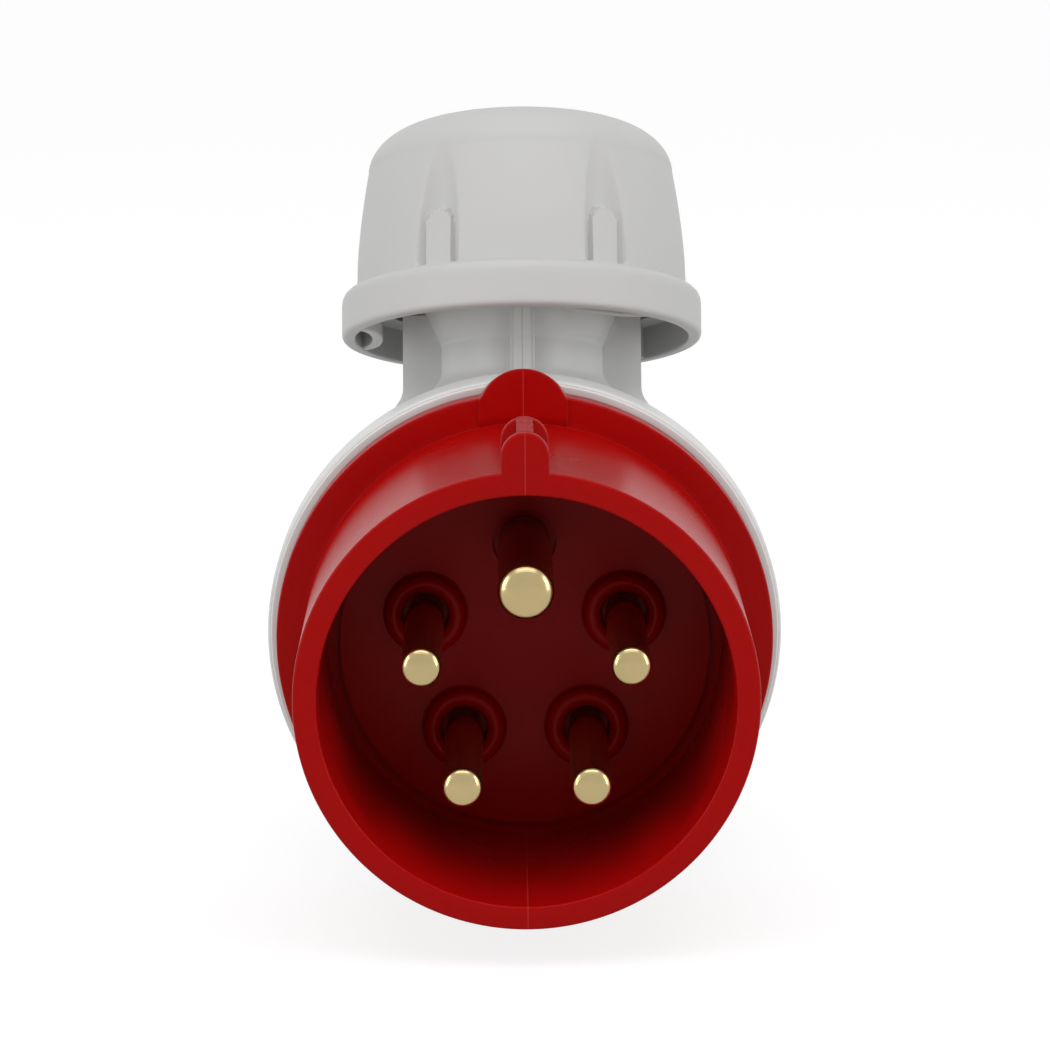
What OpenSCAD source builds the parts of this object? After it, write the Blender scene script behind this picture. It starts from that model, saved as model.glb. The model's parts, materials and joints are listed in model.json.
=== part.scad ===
// Industrial pin and sleeve plug, five pins, angled outlet with a screwed gland cap.
// Origin at the centre of the sleeve's mouth. The pins point along -Y and the outlet rises along +Z.

/* [Sleeve] */
// Outside diameter of the sleeve
sleeve_d = 58; // [55:0.5:60]
// Wall of the sleeve
sleeve_wall = 3.05; // [2.6:0.05:3.6]
// Depth from the mouth to the floor that carries the pins
sleeve_depth = 35; // [31:0.5:38]
// Thickness of the floor
floor_t = 3; // [2.6:0.1:4]
// Height of the bosses around the live pins
boss_h = 2.5; // [1.2:0.1:3]
// Width of a boss's rounded wall
boss_w = 2.3; // [1.6:0.1:2.6]
// Radius of the edges of the mouth's rim
rim_edge = 0.35; // [0.2:0.05:0.8]
// Width of the keying nib's plates
nib_w = 6; // [5:0.2:8]
// Height of the nib above the sleeve
nib_h = 4.8; // [3.4:0.1:5.4]
// Length of the nib
nib_len = 13.4; // [9:0.2:18]
// Width of the nib's web
nib_web = 2.1; // [1.5:0.1:3]

/* [Flange] */
// How far the flange stands out from the sleeve
flange_lip = 3.85; // [3.4:0.05:5]
// Thickness of the flange
flange_t = 3.8; // [3:0.1:5]
// Distance from the floor to the flange's front
flange_set = 2; // [1:0.1:4]
// Radius of the locking lug on top of the flange
lug_r = 5.8; // [4.6:0.1:7]
// Height of the lug's top above the flange
lug_h = 3.5; // [3:0.1:5]
// How far the lug's face stands in front of the flange
lug_step = 0.3; // [0.1:0.05:0.6]
// Thickness of the seal behind the flange
gasket_t = 1.2; // [0.8:0.1:2]

/* [Pins] */
// Radius of the circle the pins stand on
pin_circle = 13.7; // [13:0.1:14.6]
// Diameter of the live pins
pin_d = 5; // [4.6:0.1:5.6]
// Diameter of the earth pin
earth_d = 7; // [6.4:0.1:7.6]
// Distance from the mouth to the live pins' tips
pin_set = 1; // [1:0.1:8]
// Distance from the mouth to the earth pin's tip
earth_set = 0.5; // [0.5:0.1:6]
// Length of a pin's terminal barrel
barrel_len = 13; // [12:0.5:15]
// Wall of a terminal barrel
barrel_wall = 1.9; // [1.5:0.1:2]
// Diameter of the wire hole in a terminal barrel
wire_d = 4.4; // [3.6:0.1:4.8]
// Diameter of the terminal screws
term_screw_d = 3.5; // [3:0.1:4]

/* [Housing] */
// Wall of the housing
wall = 2.4; // [2:0.1:3]
// How far the rim stands out from the flange's seat
rim_lip = 1.05; // [1:0.05:2]
// Length of the rim
rim_len = 8; // [6.5:0.1:9]
// Length of the straight part of the drum, behind the flange
drum_len = 21.2; // [19:0.2:26]
// Length of the drum's domed back
dome_len = 22; // [20:0.5:28]
// Distance from the flange's back to the outlet's axis
neck_set = 15.2; // [14:0.2:17]
// Angle by which the outlet leans back
neck_tilt = 19; // [14:0.5:22]
// Length of the outlet, from the plug's axis to the collar's top
neck_len = 57.2; // [56:0.2:62]
// Width across the outlet's flat sides
neck_w = 32.7; // [30:0.1:34]
// Radius of the outlet's back
neck_r = 18.3; // [17.4:0.1:18.6]
// Radius of the outlet's round front
throat_r = 11.4; // [10.8:0.1:12.4]
// Width of the rib along the outlet's seam
seam_w = 2.2; // [1.6:0.1:3]
// Height of the rib along the outlet's seam
seam_h = 1.2; // [0.6:0.1:1.6]
// Radius of the threaded collar
collar_r = 18.8; // [18:0.1:19]
// Length of the threaded collar
collar_len = 11.7; // [10:0.1:12.5]
// Length of the flare under the collar
flare_len = 9.2; // [8:0.1:9.6]

/* [Gland cap] */
// Wall of the cap's grip, outside the thread
cap_wall = 3.3; // [2.9:0.1:4.5]
// Thickness of the cap's end, over the clamping fingers
crown_t = 4.3; // [4:0.1:6.5]
// How far the skirt ring stands out from the grip
ring_lip = 2; // [1.4:0.1:3]
// Height of the skirt ring
ring_h = 5; // [4:0.1:5.6]
// Radius that the grip loses towards the crown
cap_taper = 1.7; // [1.2:0.1:1.9]
// Number of flutes in the grip
flutes = 6; // [3:1:10]
// Depth of a flute
flute_d = 1.5; // [1:0.1:1.6]
// Radius of a flute's hollow
flute_r = 3.2; // [2.6:0.1:4]
// Width of the pad at the foot of a flute
pad_w = 3.1; // [2.2:0.1:3.4]
// Radius of the cable hole
cable_r = 9.5; // [8:0.1:10.5]
// Number of detent tongues inside the skirt
tongues = 3; // [2:1:4]
// Wall of a detent tongue
tongue_t = 1.2; // [0.9:0.1:1.5]

/* [Cable gland] */
// Length of the rubber seal
seal_len = 8; // [6:0.1:8.6]
// Thickness of the thrust washer
washer_t = 1.5; // [1.2:0.1:2]
// Number of fingers on the clamping cage
fingers = 8; // [4:1:12]
// Length of the fingers
finger_len = 5.6; // [4:0.1:6]

/* [Hidden] */
$fn = 96;

gap = 0.3;          // running clearance between curved faces
snug = 0.15;        // clearance of a fitted piece in its bore
sleeve_r = sleeve_d / 2;
bore_r = sleeve_r - sleeve_wall;
seat_y = sleeve_depth + floor_t;                 // back of the floor
flange_y = sleeve_depth + flange_set;
flange_r = sleeve_r + flange_lip;
flange_back = flange_y + flange_t;
spigot_r = flange_r - 2.1;
spigot_wall = 3.6;
lip_y = flange_back + gasket_t + 1.5;            // groove that the housing's lip runs in
lip_t = 1.4;
lip_d = 1.2;
spigot_end = lip_y + lip_t + 1.6;
chamber_r = spigot_r - spigot_wall;              // room behind the floor
lug_z = flange_r + lug_h - lug_r;

root_y = sleeve_depth - boss_h - 1.5;            // where a pin's root is relieved
root_cut = 0.4;                                  // depth of that relief
collar_t = 2;                                    // shoulder that holds each pin
barrel_y = seat_y + collar_t;
barrel_end = barrel_y + barrel_len;
screw_y = barrel_end - 3.6;
wire_depth = 9;
head_r = 2.6;
head_t = 1.8;
carrier_end = barrel_end + 1;
carrier_r = chamber_r - gap;
fixing_r = 20;                                   // circle of the carrier's fixing screws
fixing_angles = [198, 342];

drum_r = spigot_r + 1.1;
drum_in = drum_r - wall;
seal_y = flange_back + gasket_t;                 // face of the housing that backs the seal
rim_y = seal_y - 1;
rim_r = flange_r + gap + rim_lip;
drum_end = flange_back + drum_len;
neck_y = flange_back + neck_set;
collar_z = neck_len - collar_len;
flare_z = collar_z - flare_len;
flank_z = flare_z + 4.4;                         // top of the outlet's flat flanks
flare_r = throat_r + 4.2;
seal_z = neck_len - seal_len - 1.2;              // seat of the rubber seal
seal_bore = collar_r - 3.3;
screw_r = 1.6;
screw_head_r = 3;
screw_seat = 17;                                 // depth of the screw heads' seats from the seam
screw_boss_r = 4;
lower_screw = [drum_end + 4, -20];               // y and z of the housing screws
upper_screw = [drum_end + 14.5, 5];

washer_z = neck_len + gap;
washer_top = washer_z + washer_t;
washer_r = collar_r - 0.4;
cage_r = seal_bore - snug;
finger_t = 1.8;
finger_r = cable_r + finger_t;
cap_step = 21.3;                                 // depth of the cap's bore
cap_z = washer_top - cap_step;
thread_r = collar_r + 0.7;
cap_r = thread_r + cap_wall;
cap_h = cap_step - washer_t + finger_len + crown_t;
skirt_r = cap_r + 0.2;
skirt_w = ring_h - 0.4;
grip_w = ring_h + 3.9;
crown_w = cap_h - 6.5;
crown_r = cap_r - cap_taper;
top_r = crown_r - 9.1;
cone_r = thread_r - 3.5;
tongue_nose = thread_r + 0.35;
pad_top = ring_h + 9.5;

// Turns a profile of radius and depth into a body around the plug's axis.
module turned(points) rotate([-90, 0, 0]) rotate_extrude() polygon(points);

// Extrudes an outline of width and height from one depth to another.
module slab(y0, y1) translate([0, y1, 0]) rotate([90, 0, 0]) linear_extrude(y1 - y0) children();

// Carries its children to a pin, with X pointing away from the plug's axis.
module at_pin(i) {
    a = 90 + 72 * i;
    translate([pin_circle * cos(a), 0, pin_circle * sin(a)]) rotate([0, -a, 0]) children();
}

// Carries its children to the outlet's own frame, with Z along the cable.
module on_neck(z = 0) translate([0, neck_y, 0]) rotate([-neck_tilt, 0, 0]) translate([0, 0, z]) children();

function arc(cx, cy, rx, ry, a0, a1, n = 6) =
    [for (i = [0:n]) let (a = a0 + (a1 - a0) * i / n) [cx + rx * cos(a), cy + ry * sin(a)]];

function pin_r(i) = i == 0 ? earth_d / 2 : pin_d / 2;
function barrel_r(i) = wire_d / 2 + barrel_wall + (i == 0 ? 0.4 : 0);
function hole_r(i) = pin_r(i) + (i == 0 ? 0.7 : 0.5);

module boss(i) {
    r = hole_r(i);
    turned(concat([[r, sleeve_depth + 0.5], [r + boss_w, sleeve_depth + 0.5], [r + boss_w, sleeve_depth]],
        arc(r + boss_w / 2, sleeve_depth - boss_h + boss_w / 2, boss_w / 2, boss_w / 2, 0, -180, 8)));
}

module nib_outline(w) {
    top = sleeve_r + nib_h;
    translate([-w / 2, sleeve_r - 1]) square([w, top - sleeve_r + 1 - w / 2]);
    translate([0, top - w / 2]) circle(d = w);
}

module nib() {
    plate = 1.6;
    slab(0, plate) nib_outline(nib_w);
    slab(nib_len - plate, nib_len) nib_outline(nib_w);
    slab(0.5, nib_len - 0.5) intersection() {
        nib_outline(nib_w);
        translate([-nib_web / 2, 0]) square([nib_web, sleeve_r + nib_h]);
    }
}

// Round lug on a straight foot that reaches down to the sleeve.
module lug_outline() {
    translate([0, lug_z]) circle(lug_r);
    translate([-lug_r, sleeve_r - 0.9]) square([2 * lug_r, lug_z - sleeve_r + 0.9]);
}

module sleeve() color([0.72, 0.06, 0.05]) difference() {
    union() {
        turned(concat(
            arc(bore_r + rim_edge, rim_edge, rim_edge, rim_edge, 180, 270, 4),
            arc(sleeve_r - rim_edge, rim_edge, rim_edge, rim_edge, 270, 360, 4),
            [[sleeve_r, flange_y - 0.8]], arc(sleeve_r + 0.8, flange_y - 0.8, 0.8, 0.8, 180, 90, 4),
            arc(flange_r - 1, flange_y + 1, 1, 1, 270, 360, 4),
            [[flange_r, flange_back], [spigot_r, flange_back], [spigot_r, lip_y], [spigot_r - lip_d, lip_y],
             [spigot_r - lip_d, lip_y + lip_t], [spigot_r, lip_y + lip_t], [spigot_r, spigot_end - 0.6],
             [spigot_r - 0.6, spigot_end], [chamber_r, spigot_end], [chamber_r, seat_y], [0, seat_y],
             [0, sleeve_depth], [bore_r - 1.6, sleeve_depth], [bore_r - 1.6, sleeve_depth + 0.8],
             [bore_r, sleeve_depth + 0.8]]));
        for (i = [1:4]) at_pin(i) boss(i);
        nib();
        slab(flange_y - lug_step, flange_back) lug_outline();
        for (a = fixing_angles) rotate([0, -a, 0]) translate([fixing_r, 0, 0])
            turned([[0, seat_y - 1], [3.2, seat_y - 1], [3.2, barrel_y], [0, barrel_y]]);
    }
    for (i = [0:4]) at_pin(i) turned([[0, sleeve_depth - boss_h - 1], [hole_r(i), sleeve_depth - boss_h - 1],
        [hole_r(i), seat_y - 1.6], [pin_r(i) + 0.1, seat_y - 1.2], [pin_r(i) + 0.1, seat_y + 1], [0, seat_y + 1]]);
    for (a = fixing_angles) rotate([0, -a, 0]) translate([fixing_r, 0, 0])
        turned([[0, seat_y - 1.6], [1.4, seat_y - 1.6], [1.4, barrel_y + 1], [0, barrel_y + 1]]);
}

module flange_seal() color([0.15, 0.15, 0.15]) turned([[spigot_r + snug, flange_back], [flange_r - 0.3, flange_back],
    [flange_r - 0.3, seal_y], [spigot_r + snug, seal_y]]);

module pin(i, tip) color([0.78, 0.66, 0.4]) at_pin(i) {
    r = pin_r(i);
    b = barrel_r(i);
    difference() {
        turned(concat([[0, tip], [0.5 * r, tip]], arc(0.5 * r, tip + 0.5 * r, 0.5 * r, 0.5 * r, 290, 360, 5),
            [[r, root_y], [r - root_cut, root_y + root_cut], [r - root_cut, seat_y], [r + 1.8, seat_y],
             [r + 1.8, barrel_y - 0.3], [r + 1.5, barrel_y],
             [b, barrel_y], [b, barrel_end - 0.5], [b - 0.5, barrel_end], [wire_d / 2 + 0.4, barrel_end],
             [wire_d / 2, barrel_end - 0.5], [wire_d / 2, barrel_end - wire_depth],
             [0, barrel_end - wire_depth - 1.2]]));
        translate([0, screw_y, 0]) rotate([0, 90, 0]) cylinder(r = term_screw_d / 2, h = b + 1);
    }
}

module earth_pin() pin(0, earth_set);
module neutral_pin() pin(4, pin_set);
module line_pin_1() pin(1, pin_set);
module line_pin_2() pin(2, pin_set);
module line_pin_3() pin(3, pin_set);

// A slotted screw along +X, seated with its head against the barrel.
module terminal_screw(i) color([0.75, 0.75, 0.78]) at_pin(i) translate([0, screw_y, 0]) rotate([0, 90, 0])
    difference() {
        b = barrel_r(i);
        rotate_extrude() polygon([[0, wire_d / 2 - 1], [term_screw_d / 2 - 0.5, wire_d / 2 - 1],
            [term_screw_d / 2, wire_d / 2 - 0.5], [term_screw_d / 2, b], [head_r, b],
            [head_r, b + head_t - 0.4], [head_r - 0.4, b + head_t], [0, b + head_t]]);
        translate([-head_r - 1, -0.4, b + head_t - 0.9]) cube([2 * head_r + 2, 0.8, 2]);
    }

module earth_terminal_screw() terminal_screw(0);
module neutral_terminal_screw() terminal_screw(4);
module line_terminal_screw_1() terminal_screw(1);
module line_terminal_screw_2() terminal_screw(2);
module line_terminal_screw_3() terminal_screw(3);

module terminal_carrier() color([0.3, 0.3, 0.32]) difference() {
    turned([[0, barrel_y], [carrier_r - 0.5, barrel_y], [carrier_r, barrel_y + 0.5],
        [carrier_r, carrier_end - 1], [carrier_r - 1, carrier_end], [6, carrier_end], [4, carrier_end - 6],
        [0, carrier_end - 6]]);
    for (i = [0:4]) at_pin(i) {
        slab(barrel_y - 1, carrier_end + 1) circle(barrel_r(i) + snug);
        translate([0, screw_y - head_r - 0.8, -head_r - 0.8]) cube([carrier_r, 2 * head_r + 1.6, 2 * head_r + 1.6]);
    }
    for (a = fixing_angles) rotate([0, -a, 0]) translate([fixing_r, 0, 0])
        turned([[0, barrel_y - 1], [1.8, barrel_y - 1], [1.8, carrier_end - 4], [3.2, carrier_end - 4],
            [3.2, carrier_end + 1], [0, carrier_end + 1]]);
}

module carrier_screws() color([0.75, 0.75, 0.78]) for (a = fixing_angles)
    rotate([0, -a, 0]) translate([fixing_r, 0, 0]) difference() {
        turned([[0, seat_y - 1.2], [1.3, seat_y - 0.6], [1.3, carrier_end - 4], [2.8, carrier_end - 4],
            [2.8, carrier_end - 2.6], [2.3, carrier_end - 2], [0, carrier_end - 2]]);
        translate([-0.4, carrier_end - 2.9, -4]) cube([0.8, 2, 8]);
    }

// Section of the outlet: flat flanks, round back and a smaller round front.
module neck_section(t = 0) {
    intersection() {
        circle(neck_r - t);
        translate([-neck_w / 2 + t, -3 + t]) square([neck_w - 2 * t, neck_r + 3]);
    }
    circle(throat_r - t);
}

// Rib that follows the seam up the front of the outlet and its flare.
module outlet_rib(w, h) on_neck() intersection() {
    translate([-w / 2, -neck_r - 2, 0]) cube([w, neck_r, collar_z]);
    rotate_extrude() polygon([[0, 0], [throat_r + h, 0], [throat_r + h, flare_z], [flare_r + h, collar_z], [0, collar_z]]);
}

module housing_solid() {
    turned(concat([[0, rim_y]], [[flange_r + gap + 0.3, rim_y], [rim_r - 0.45, rim_y], [rim_r - 0.45, rim_y + 0.3],
        [rim_r - 0.2, rim_y + 0.3]], arc(rim_r - 0.6, rim_y + 0.9, 0.6, 0.6, 300, 360, 3),
        arc(rim_r - 1.4, rim_y + rim_len - 1.4, 1.4, 1.4, 0, 90, 4), [[drum_r, rim_y + rim_len + 0.2]],
        arc(0, drum_end, drum_r, dome_len, 0, 90, 10)));
    on_neck() linear_extrude(flank_z) neck_section();
    on_neck() rotate_extrude() polygon([[0, flare_z], [throat_r, flare_z], [flare_r, collar_z],
        [collar_r - 0.8, collar_z], [collar_r, collar_z + 0.8], [collar_r, neck_len - 1],
        [collar_r - 1, neck_len], [0, neck_len]]);
    outlet_rib(seam_w, seam_h);
    outlet_rib(seam_w + 0.9, seam_h / 2);
}

module housing_hollow() {
    turned(concat([[0, rim_y - 1], [flange_r + gap, rim_y - 1], [flange_r + gap, seal_y], [spigot_r + gap, seal_y],
        [spigot_r + gap, lip_y + 0.2], [spigot_r - lip_d + gap, lip_y + 0.2],
        [spigot_r - lip_d + gap, lip_y + lip_t - 0.2], [spigot_r + gap, lip_y + lip_t - 0.2],
        [spigot_r + gap, spigot_end + 0.4], [drum_in, spigot_end + 1.4]],
        arc(0, drum_end, drum_in, dome_len - wall, 0, 90, 10)));
    on_neck() linear_extrude(flare_z) neck_section(wall);
    on_neck() rotate_extrude() polygon([[0, flare_z - 1], [throat_r - wall, flare_z - 1],
        [throat_r - wall, flare_z], [seal_bore - 2, collar_z + 1], [seal_bore - 2, seal_z], [seal_bore, seal_z],
        [seal_bore, neck_len + 1], [0, neck_len + 1]]);
}

// Carries its children to the line of a housing screw, with Z across the seam.
module at_screw(place) translate([0, place[0], place[1]]) rotate([0, 90, 0]) children();

module screw_drill() {
    translate([0, 0, -8]) cylinder(r = screw_r, h = 9);
    cylinder(r = screw_r + 0.2, h = screw_seat + 1);
    translate([0, 0, screw_seat]) cylinder(r = screw_head_r + 0.3, h = 30);
}

module housing_half(side) difference() {
    housing_solid();
    difference() {
        housing_hollow();
        for (place = [lower_screw, upper_screw]) at_screw(place)
            translate([0, 0, -40]) cylinder(r = screw_boss_r, h = 80);
    }
    translate([side > 0 ? -80 : 0, -20, -80]) cube([80, 160, 200]);
    for (place = [lower_screw, upper_screw]) at_screw(place) screw_drill();
}

module housing_left() color([0.77, 0.77, 0.76]) housing_half(-1);
module housing_right() color([0.77, 0.77, 0.76]) housing_half(1);

module housing_screw() color([0.75, 0.75, 0.78]) difference() {
    rotate_extrude() polygon([[0, -7.6], [screw_r - 0.8, -7.6], [screw_r - 0.1, -6.8],
        [screw_r - 0.1, screw_seat], [screw_head_r, screw_seat], [screw_head_r, screw_seat + 1.6],
        [screw_head_r - 0.6, screw_seat + 2.2], [0, screw_seat + 2.2]]);
    for (a = [0, 90]) rotate([0, 0, a]) translate([-1.8, -0.4, screw_seat + 1]) cube([3.6, 0.8, 2]);
}

module housing_screw_upper() at_screw(upper_screw) housing_screw();
module housing_screw_lower() at_screw(lower_screw) housing_screw();

module cable_seal() color([0.12, 0.12, 0.12]) on_neck() rotate_extrude() polygon([[cable_r - 1.5, seal_z],
    [cage_r, seal_z], [cage_r, seal_z + seal_len], [cable_r - 0.3, seal_z + seal_len],
    [cable_r - 1.5, seal_z + seal_len - 2]]);

module clamping_cage() color([0.25, 0.25, 0.25]) on_neck(seal_z + seal_len) difference() {
    base = neck_len + gap - seal_z - seal_len;
    rotate_extrude() polygon([[cable_r, 0], [cage_r, 0], [cage_r, base], [finger_r, base],
        [finger_r, base + finger_len - 1.5], [finger_r - 0.9, base + finger_len], [cable_r, base + finger_len]]);
    for (i = [0:fingers - 1]) rotate([0, 0, 360 * i / fingers])
        translate([0, -0.7, base]) cube([finger_r + 1, 1.4, finger_len + 1]);
}

module thrust_washer() color([0.6, 0.6, 0.62]) on_neck(washer_z) rotate_extrude()
    polygon([[finger_r + gap, 0], [washer_r, 0], [washer_r, washer_t], [finger_r + gap, washer_t]]);

// Wall of the cap's grip: it leans in gently, then turns over into the crown.
function grip_points(n = 6) = [for (i = [0:n]) let (t = i / n)
    [cap_r - cap_taper * pow(t, 1.5), grip_w + (crown_w - grip_w) * t]];

module cap_shell() difference() {
    rotate_extrude() polygon(concat([[0, 0], [cap_r + ring_lip - 0.8, 0]],
        arc(cap_r + ring_lip - 0.8, 0.8, 0.8, 0.8, 300, 360, 3), arc(cap_r + ring_lip - 0.8, ring_h - 0.8, 0.8, 0.8, 0, 60, 3),
        [[cap_r + 0.1, ring_h + 1.9]], grip_points(),
        arc(top_r, crown_w, crown_r - top_r, cap_h - crown_w, 10, 90, 8), [[0, cap_h]]));
    rotate_extrude() polygon([[0, -1], [skirt_r, -1], [skirt_r, skirt_w], [thread_r, skirt_w],
        [thread_r, cap_step], [cone_r, cap_step], [cable_r + 1.8, cap_h - 3.4], [cable_r, cap_h - 3],
        [cable_r, cap_h - 0.8], [cable_r + 0.8, cap_h + 0.01], [0, cap_h + 1]]);
    for (i = [0:flutes - 1]) rotate([0, 0, 360 * (i + 0.5) / flutes])
        translate([0, -cap_r + flute_d - flute_r, ring_h + 1.3]) cylinder(r = flute_r, h = cap_h);
}

// Rounded pad that stands in the foot of a flute.
module flute_pad() intersection() {
    rotate_extrude() polygon([[thread_r + 0.5, ring_h + 0.5], [cap_r - 0.3, ring_h + 0.5], [cap_r - 0.6, pad_top + 1],
        [thread_r + 0.5, pad_top + 1]]);
    slab(-cap_r, -thread_r) {
        translate([-pad_w / 2, 0]) square([pad_w, pad_top - pad_w / 2]);
        translate([0, pad_top - pad_w / 2]) circle(d = pad_w);
    }
}

// Hollow curved tongue that springs in from the skirt, open at its foot.
module tongue() {
    half = 21;
    c = (pow(skirt_r, 2) - pow(tongue_nose, 2)) / (2 * (skirt_r * cos(half) - tongue_nose));
    intersection() {
        translate([0, 0, 0.6]) linear_extrude(skirt_w - 0.6 + 0.4) difference() {
            circle(skirt_r + 0.4);
            translate([c, 0]) circle(c - tongue_nose - tongue_t);
        }
        translate([c, 0, 0]) cylinder(r = c - tongue_nose, h = cap_h);
    }
}

module gland_cap() color([0.78, 0.78, 0.77]) on_neck(cap_z) {
    cap_shell();
    for (i = [0:flutes - 1]) rotate([0, 0, 360 * (i + 0.5) / flutes]) flute_pad();
    for (i = [0:tongues - 1]) rotate([0, 0, 60 + 360 * i / tongues]) tongue();
}

sleeve();
flange_seal();
earth_pin();
neutral_pin();
line_pin_1();
line_pin_2();
line_pin_3();
earth_terminal_screw();
neutral_terminal_screw();
line_terminal_screw_1();
line_terminal_screw_2();
line_terminal_screw_3();
terminal_carrier();
carrier_screws();
housing_left();
housing_right();
housing_screw_upper();
housing_screw_lower();
cable_seal();
clamping_cage();
thrust_washer();
gland_cap();
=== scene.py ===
import json
import bmesh
import bpy
import numpy as np
from mathutils import Matrix
from mathutils.geometry import delaunay_2d_cdt


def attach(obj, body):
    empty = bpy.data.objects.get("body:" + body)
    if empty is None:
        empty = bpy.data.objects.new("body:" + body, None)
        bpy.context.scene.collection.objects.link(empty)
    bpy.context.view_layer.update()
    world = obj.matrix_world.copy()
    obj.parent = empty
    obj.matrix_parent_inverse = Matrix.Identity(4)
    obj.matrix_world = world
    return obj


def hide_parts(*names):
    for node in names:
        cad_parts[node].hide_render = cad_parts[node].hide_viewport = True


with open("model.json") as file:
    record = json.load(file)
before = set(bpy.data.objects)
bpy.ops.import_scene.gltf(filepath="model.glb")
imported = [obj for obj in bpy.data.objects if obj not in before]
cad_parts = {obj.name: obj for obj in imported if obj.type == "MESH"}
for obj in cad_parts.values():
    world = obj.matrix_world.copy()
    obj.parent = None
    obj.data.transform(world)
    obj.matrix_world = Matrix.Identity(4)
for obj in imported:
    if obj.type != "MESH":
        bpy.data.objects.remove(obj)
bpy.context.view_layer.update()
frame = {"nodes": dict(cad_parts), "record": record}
mm = 0.001
fullTurn, tiny, hair, farOff = 2 * np.pi, 1e-6, 0.001, 99.0  # farOff is past every radius here, in mm
crease, softCrease, weld = 32, 40, 2e-7  # degrees between smooth faces, and the welding distance in metres
print("frame loaded")

view = {"lens": 139.92, "distance": 503.08, "tilt": 10.54, "turn": -0.29, "roll": -0.37, "across": -0.21,
        "above": 22.02, "sensor": 36, "near": 0.01}  # degrees and millimetres, but near in metres


def standAt(thing, axes, place):
    # an object's matrix: its three axes as columns, then its place
    thing.matrix_world = Matrix([[*row, p] for row, p in zip(axes, place)] + [[0, 0, 0, 1]])


def placeCamera(v):
    # the camera looks down at the mouth's centre from straight ahead, shifted sideways and up in its own plane
    tilt, turn, roll = np.radians([v["tilt"], v["turn"], v["roll"]])
    back = np.array([np.sin(turn) * np.cos(tilt), -np.cos(turn) * np.cos(tilt), np.sin(tilt)])
    right = np.array([np.cos(turn), np.sin(turn), 0.0])
    up = np.cross(back, right)
    right, up = right * np.cos(roll) + up * np.sin(roll), up * np.cos(roll) - right * np.sin(roll)
    place = (v["distance"] * back + v["across"] * right + v["above"] * up) * mm
    lens = bpy.data.cameras.new("viewCamera")
    lens.lens, lens.sensor_width, lens.clip_start = v["lens"], v["sensor"], v["near"]
    camera = bpy.data.objects.new("viewCamera", lens)
    bpy.context.scene.collection.objects.link(camera)
    standAt(camera, np.stack([right, up, back], 1), place)
    bpy.context.scene.camera = camera


placeCamera(view)
bpy.context.scene.view_settings.view_transform = "Standard"

lamps = {
    "overheadFront": {"place": (0.0, -0.34, 0.70), "aim": (0, 0.02, 0.02), "size": (0.75, 0.35), "power": 1.7},
    "overheadBack": {"place": (0.0, 0.30, 0.72), "aim": (0, 0.05, 0.05), "size": (0.7, 0.4), "power": 0.2},
    "leftPanel": {"place": (-0.68, -0.36, 0.14), "aim": (0, 0.02, 0.02), "size": (0.16, 0.6), "power": 2.2},
    "rightPanel": {"place": (0.68, -0.36, 0.14), "aim": (0, 0.02, 0.02), "size": (0.16, 0.6), "power": 2.2},
}
upright = (0.0, 0.02, 1.0)  # leans a little, so that no lamp's back lies along it


def addLamp(name, v):
    # a rectangle: its back is the unit vector from its aim to its place, and its side is upright x back
    light = bpy.data.lights.new(name, "AREA")
    light.shape, light.size, light.size_y, light.energy = "RECTANGLE", *v["size"], v["power"]
    lamp = bpy.data.objects.new(name, light)
    bpy.context.scene.collection.objects.link(lamp)
    back = np.subtract(v["place"], v["aim"])
    back = back / np.linalg.norm(back)
    side = np.cross(upright, back)
    side = side / np.linalg.norm(side)
    axes = np.stack([side, np.cross(back, side), back], 1)
    standAt(lamp, axes, v["place"])


for lampName, lampValues in lamps.items():
    addLamp(lampName, lampValues)


def link(tree, *pairs):
    # joins each output to the input beside it
    for out, into in pairs:
        tree.links.new(out, into)


def math1(tree, kind, a, b=None, clamp=False):
    # one Math node, whose operands are sockets or plain numbers
    n = tree.nodes.new("ShaderNodeMath")
    n.operation, n.use_clamp = kind, clamp
    for slot, v in zip(n.inputs, (a, b)):
        if v is None:
            continue
        if hasattr(v, "links"):
            tree.links.new(v, slot)
        else:
            slot.default_value = v
    return n.outputs[0]


room = {"ahead": 0.14, "sides": 0.9, "behind": 0.4,  # how strongly each part of the wall lights the object
        "stops": (0.05, 0.19, 0.5, 0.75)}  # where ahead ends, the sides begin and end, and behind begins


def addSeen(tree):
    # 1 for the rays that look at the room itself, straight or through a reflection or glass
    path = tree.nodes.new("ShaderNodeLightPath")
    seen = math1(tree, "MAXIMUM", path.outputs["Is Camera Ray"], path.outputs["Is Glossy Ray"])
    return math1(tree, "MAXIMUM", seen, path.outputs["Is Transmission Ray"])


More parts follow.
